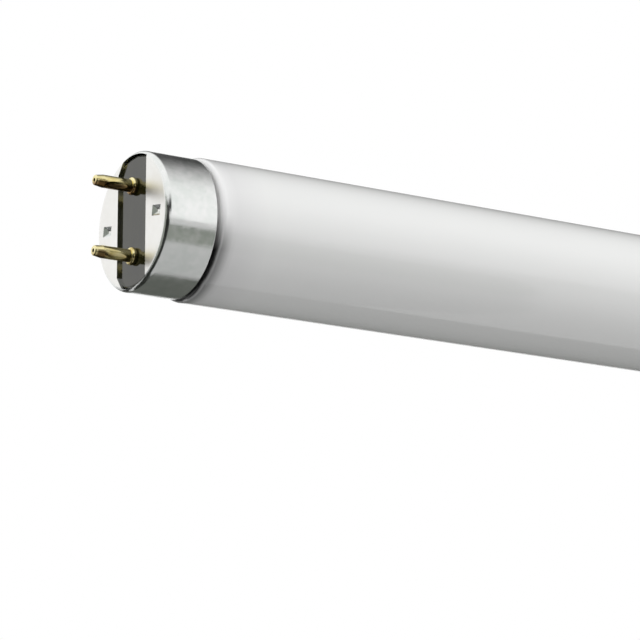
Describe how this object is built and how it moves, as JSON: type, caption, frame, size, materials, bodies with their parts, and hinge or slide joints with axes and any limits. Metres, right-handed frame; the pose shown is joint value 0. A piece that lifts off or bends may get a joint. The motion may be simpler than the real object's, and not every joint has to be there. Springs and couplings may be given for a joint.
{
  "type": "fluorescent tube lamp",
  "caption": "Straight fluorescent tube lamp: white-coated glass tube with a slotted aluminium cap and brass contact pins at each end.",
  "frame": {"origin": "middle of the tube's axis, halfway between the two caps", "axes": "+X along the tube, the pictured cap at -X; +Z along the line through the pins of a cap"},
  "size_m": [0.604, 0.026, 0.026],
  "materials": {
    "coated_glass": "clear glass over a matt white coating on its inside, unlit",
    "cap_aluminium": "drawn sheet, satin, lightly mottled",
    "phenolic": "pressed paper board, near black, semi-gloss",
    "pin_brass": "bright, lightly tarnished in the crimps",
    "cement": "baked basing cement, matt",
    "lead_wire": "drawn nickel-coated wire"
  },
  "bodies": {
    "root": {"glass_tube": "coated_glass", "left_cap_shell": "cap_aluminium", "left_insulator_plate": "phenolic", "left_cement_ring": "cement", "left_upper_pin": "pin_brass", "left_lower_pin": "pin_brass", "left_upper_lead_wire": "lead_wire", "left_lower_lead_wire": "lead_wire", "right_cap_shell": "cap_aluminium", "right_insulator_plate": "phenolic", "right_cement_ring": "cement", "right_upper_pin": "pin_brass", "right_lower_pin": "pin_brass", "right_upper_lead_wire": "lead_wire", "right_lower_lead_wire": "lead_wire"}
  },
  "joints": []
}
